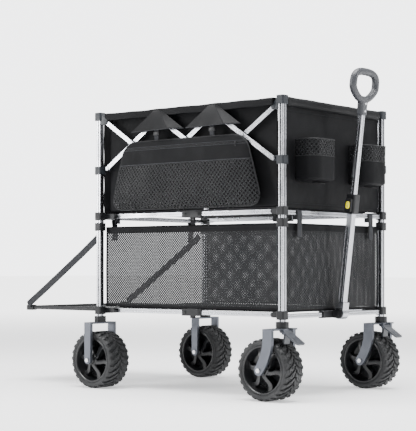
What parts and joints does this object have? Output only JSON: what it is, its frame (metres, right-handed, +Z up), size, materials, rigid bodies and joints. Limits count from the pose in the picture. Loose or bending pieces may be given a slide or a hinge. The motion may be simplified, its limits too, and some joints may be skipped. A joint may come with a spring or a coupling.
{
  "type": "folding camp wagon",
  "caption": "Folding camp wagon with an upper fabric tub on scissor sides, a lower mesh basket with let-down tailgate, swivel casters and telescoping pull handle.",
  "frame": {"origin": "on the ground, midway between the four corner posts", "axes": "+X towards the pull handle (front), +Y to the left side, +Z up"},
  "size_m": [1.3603, 0.738, 1.0959],
  "materials": {
    "bar_aluminium": "bright satin extruded",
    "rivet_steel": "plated",
    "fitting_plastic": "fine moulded grain",
    "cap_plastic": "fine moulded grain",
    "tub_fabric": "coated polyester weave",
    "basket_mesh": "warp-knit mesh",
    "webbing": "woven webbing",
    "board_fabric": "covered board",
    "tyre_rubber": "rubber with tread",
    "wheel_plastic": "satin moulded",
    "fork_paint": "textured silver grey powder coat",
    "pedal_plastic": "moulded",
    "grip_plastic": "soft grey moulding",
    "button_yellow": "gloss"
  },
  "bodies": {
    "front_frame": {"front_posts": "bar_aluminium", "front_corner_caps": "cap_plastic", "front_post_fittings": "fitting_plastic", "front_cross_rails": "bar_aluminium", "front_upper_panel": "tub_fabric", "front_cup_holders": "tub_fabric", "front_lower_mesh": "basket_mesh", "handle_yoke": "fitting_plastic", "upper_side_walls": "tub_fabric", "lower_side_meshes": "basket_mesh", "side_bag": "tub_fabric"},
    "rear_frame": {"rear_posts": "bar_aluminium", "rear_corner_caps": "cap_plastic", "rear_post_fittings": "fitting_plastic", "rear_cross_rails": "bar_aluminium", "rear_upper_panel": "tub_fabric", "rear_forks": "fork_paint", "rear_axle_bolts": "rivet_steel", "tailgate_straps": "webbing"},
    "front_sliders": {"front_sliders": "fitting_plastic"},
    "rear_sliders": {"rear_sliders": "fitting_plastic"},
    "lower_front_rails": {"lower_front_rails": "bar_aluminium", "lower_front_board": "board_fabric"},
    "lower_rear_rails": {"lower_rear_rails": "bar_aluminium", "lower_rear_board": "board_fabric"},
    "upper_front_rails": {"upper_front_rails": "bar_aluminium", "upper_front_board": "board_fabric"},
    "upper_rear_rails": {"upper_rear_rails": "bar_aluminium", "upper_rear_board": "board_fabric"},
    "lower_centre": {"lower_centre_brackets": "fitting_plastic"},
    "upper_centre": {"upper_centre_brackets": "fitting_plastic"},
    "handle": {"handle_foot": "fork_paint", "handle_lower_tube": "bar_aluminium", "handle_clamp": "fitting_plastic"},
    "handle_top": {"handle_upper_tube": "bar_aluminium", "handle_grip": "grip_plastic"},
    "handle_button": {"handle_button": "button_yellow"},
    "tailgate": {"tailgate_frame": "bar_aluminium", "tailgate_panel": "tub_fabric"},
    "link_rear_down": {"link_rear_down": "bar_aluminium"},
    "link_rear_up": {"link_rear_up": "bar_aluminium"},
    "link_middle_up": {"link_middle_up": "bar_aluminium"},
    "link_front_up": {"link_front_up": "bar_aluminium"},
    "link_front_down": {"link_front_down": "bar_aluminium"},
    "link_middle_down": {"link_middle_down": "bar_aluminium"},
    "caster_left": {"caster_fork_left": "fork_paint", "caster_bolt_left": "rivet_steel"},
    "brake_left": {"brake_pedal_left": "pedal_plastic"},
    "front_wheel_left": {"front_tyre_left": "tyre_rubber", "front_hub_left": "wheel_plastic"},
    "rear_wheel_left": {"rear_tyre_left": "tyre_rubber", "rear_hub_left": "wheel_plastic"},
    "caster_right": {"caster_fork_right": "fork_paint", "caster_bolt_right": "rivet_steel"},
    "brake_right": {"brake_pedal_right": "pedal_plastic"},
    "front_wheel_right": {"front_tyre_right": "tyre_rubber", "front_hub_right": "wheel_plastic"},
    "rear_wheel_right": {"rear_tyre_right": "tyre_rubber", "rear_hub_right": "wheel_plastic"}
  },
  "joints": [
    {"name": "fold", "type": "hinge", "parent": "front_frame", "child": "lower_front_rails", "pos_m": [0.356, 0, 0.278], "axis": [0, 1, 0], "range_deg": [0, 78.14], "deforming": ["upper_side_walls", "lower_side_meshes", "side_bag"]},
    {"name": "lower_centre_fold", "type": "hinge", "parent": "lower_front_rails", "child": "lower_centre", "pos_m": [0.03, 0, 0.278], "axis": [0, 1, 0], "range_deg": [-86.01, 0]},
    {"name": "lower_rear_fold", "type": "hinge", "parent": "lower_centre", "child": "lower_rear_rails", "pos_m": [-0.03, 0, 0.278], "axis": [0, 1, 0], "range_deg": [-86.01, 0]},
    {"name": "rear_frame_fold", "type": "hinge", "parent": "lower_rear_rails", "child": "rear_frame", "pos_m": [-0.356, 0, 0.278], "axis": [0, 1, 0], "range_deg": [0, 86.01]},
    {"name": "upper_front_fold", "type": "hinge", "parent": "front_frame", "child": "upper_front_rails", "pos_m": [0.356, 0, 0.615], "axis": [0, 1, 0], "range_deg": [0, 86.01]},
    {"name": "upper_centre_fold", "type": "hinge", "parent": "upper_front_rails", "child": "upper_centre", "pos_m": [0.03, 0, 0.615], "axis": [0, 1, 0], "range_deg": [-86.01, 0]},
    {"name": "upper_rear_fold", "type": "hinge", "parent": "rear_frame", "child": "upper_rear_rails", "pos_m": [-0.356, 0, 0.615], "axis": [0, 1, 0], "range_deg": [-86.01, 0]},
    {"name": "link_rear_down_pivot", "type": "hinge", "parent": "rear_frame", "child": "link_rear_down", "pos_m": [-0.37, 0, 0.952], "axis": [0, 1, 0], "range_deg": [0, 45.87]},
    {"name": "link_rear_up_crossing", "type": "hinge", "parent": "link_rear_down", "child": "link_rear_up", "pos_m": [-0.24667, 0, 0.869], "axis": [0, 1, 0], "range_deg": [-91.68, 0]},
    {"name": "link_middle_up_joint", "type": "hinge", "parent": "link_rear_down", "child": "link_middle_up", "pos_m": [-0.12333, 0, 0.786], "axis": [0, 1, 0], "range_deg": [-91.68, 0]},
    {"name": "link_front_up_pivot", "type": "hinge", "parent": "front_frame", "child": "link_front_up", "pos_m": [0.37, 0, 0.952], "axis": [0, 1, 0], "range_deg": [-45.87, 0]},
    {"name": "link_front_down_crossing", "type": "hinge", "parent": "link_front_up", "child": "link_front_down", "pos_m": [0.24667, 0, 0.869], "axis": [0, 1, 0], "range_deg": [0, 91.68]},
    {"name": "link_middle_down_joint", "type": "hinge", "parent": "link_front_up", "child": "link_middle_down", "pos_m": [0.12333, 0, 0.786], "axis": [0, 1, 0], "range_deg": [0, 91.68]},
    {"name": "front_slider_travel", "type": "slide", "parent": "front_frame", "child": "front_sliders", "axis": [0, 0, -1], "range_m": [0, 0.13449]},
    {"name": "rear_slider_travel", "type": "slide", "parent": "rear_frame", "child": "rear_sliders", "axis": [0, 0, -1], "range_m": [0, 0.13449]},
    {"name": "caster_swivel_left", "type": "hinge", "parent": "front_frame", "child": "caster_left", "pos_m": [0.404, 0.298, 0.2355], "axis": [0, 0, 1], "continuous": true},
    {"name": "front_wheel_spin_left", "type": "hinge", "parent": "caster_left", "child": "front_wheel_left", "pos_m": [0.357, 0.298, 0.1015], "axis": [0, 1, 0], "continuous": true},
    {"name": "brake_press_left", "type": "hinge", "parent": "caster_left", "child": "brake_left", "pos_m": [0.425, 0.298, 0.223], "axis": [0, 1, 0], "range_deg": [0, 20]},
    {"name": "rear_wheel_spin_left", "type": "hinge", "parent": "rear_frame", "child": "rear_wheel_left", "pos_m": [-0.404, 0.298, 0.1015], "axis": [0, 1, 0], "continuous": true},
    {"name": "caster_swivel_right", "type": "hinge", "parent": "front_frame", "child": "caster_right", "pos_m": [0.404, -0.298, 0.2355], "axis": [0, 0, 1], "continuous": true},
    {"name": "front_wheel_spin_right", "type": "hinge", "parent": "caster_right", "child": "front_wheel_right", "pos_m": [0.357, -0.298, 0.1015], "axis": [0, 1, 0], "continuous": true},
    {"name": "brake_press_right", "type": "hinge", "parent": "caster_right", "child": "brake_right", "pos_m": [0.425, -0.298, 0.223], "axis": [0, 1, 0], "range_deg": [0, 20]},
    {"name": "rear_wheel_spin_right", "type": "hinge", "parent": "rear_frame", "child": "rear_wheel_right", "pos_m": [-0.404, -0.298, 0.1015], "axis": [0, 1, 0], "continuous": true},
    {"name": "handle_swing", "type": "hinge", "parent": "front_frame", "child": "handle", "pos_m": [0.434, 0, 0.277], "axis": [0, 1, 0], "range_deg": [-2, 95]},
    {"name": "handle_telescope", "type": "slide", "parent": "handle", "child": "handle_top", "axis": [0.1184, 0, 0.993], "range_m": [-0.25, 0]},
    {"name": "handle_button_press", "type": "slide", "parent": "handle", "child": "handle_button", "axis": [0, 1, 0], "range_m": [0, 0.003], "stiffness_N_per_m": 400},
    {"name": "tailgate_drop", "type": "hinge", "parent": "rear_frame", "child": "tailgate", "pos_m": [-0.425, 0, 0.28], "axis": [0, 1, 0], "range_deg": [0, 90], "deforming": ["tailgate_straps"]}
  ],
  "couplings": [
    {"joint": "lower_centre_fold", "follows": "fold", "ratio": -1},
    {"joint": "lower_rear_fold", "follows": "fold", "ratio": -1},
    {"joint": "rear_frame_fold", "follows": "fold", "ratio": 1},
    {"joint": "upper_front_fold", "follows": "fold", "ratio": 1},
    {"joint": "upper_centre_fold", "follows": "fold", "ratio": -1},
    {"joint": "upper_rear_fold", "follows": "fold", "ratio": -1},
    {"joint": "link_rear_down_pivot", "follows": "fold", "ratio": 0.533},
    {"joint": "link_rear_up_crossing", "follows": "fold", "ratio": -1.066},
    {"joint": "link_middle_up_joint", "follows": "fold", "ratio": -1.066},
    {"joint": "link_front_up_pivot", "follows": "fold", "ratio": -0.533},
    {"joint": "link_front_down_crossing", "follows": "fold", "ratio": 1.066},
    {"joint": "link_middle_down_joint", "follows": "fold", "ratio": 1.066},
    {"joint": "front_slider_travel", "follows": "fold", "m_per_rad": 0.089431},
    {"joint": "rear_slider_travel", "follows": "fold", "m_per_rad": 0.089431}
  ]
}
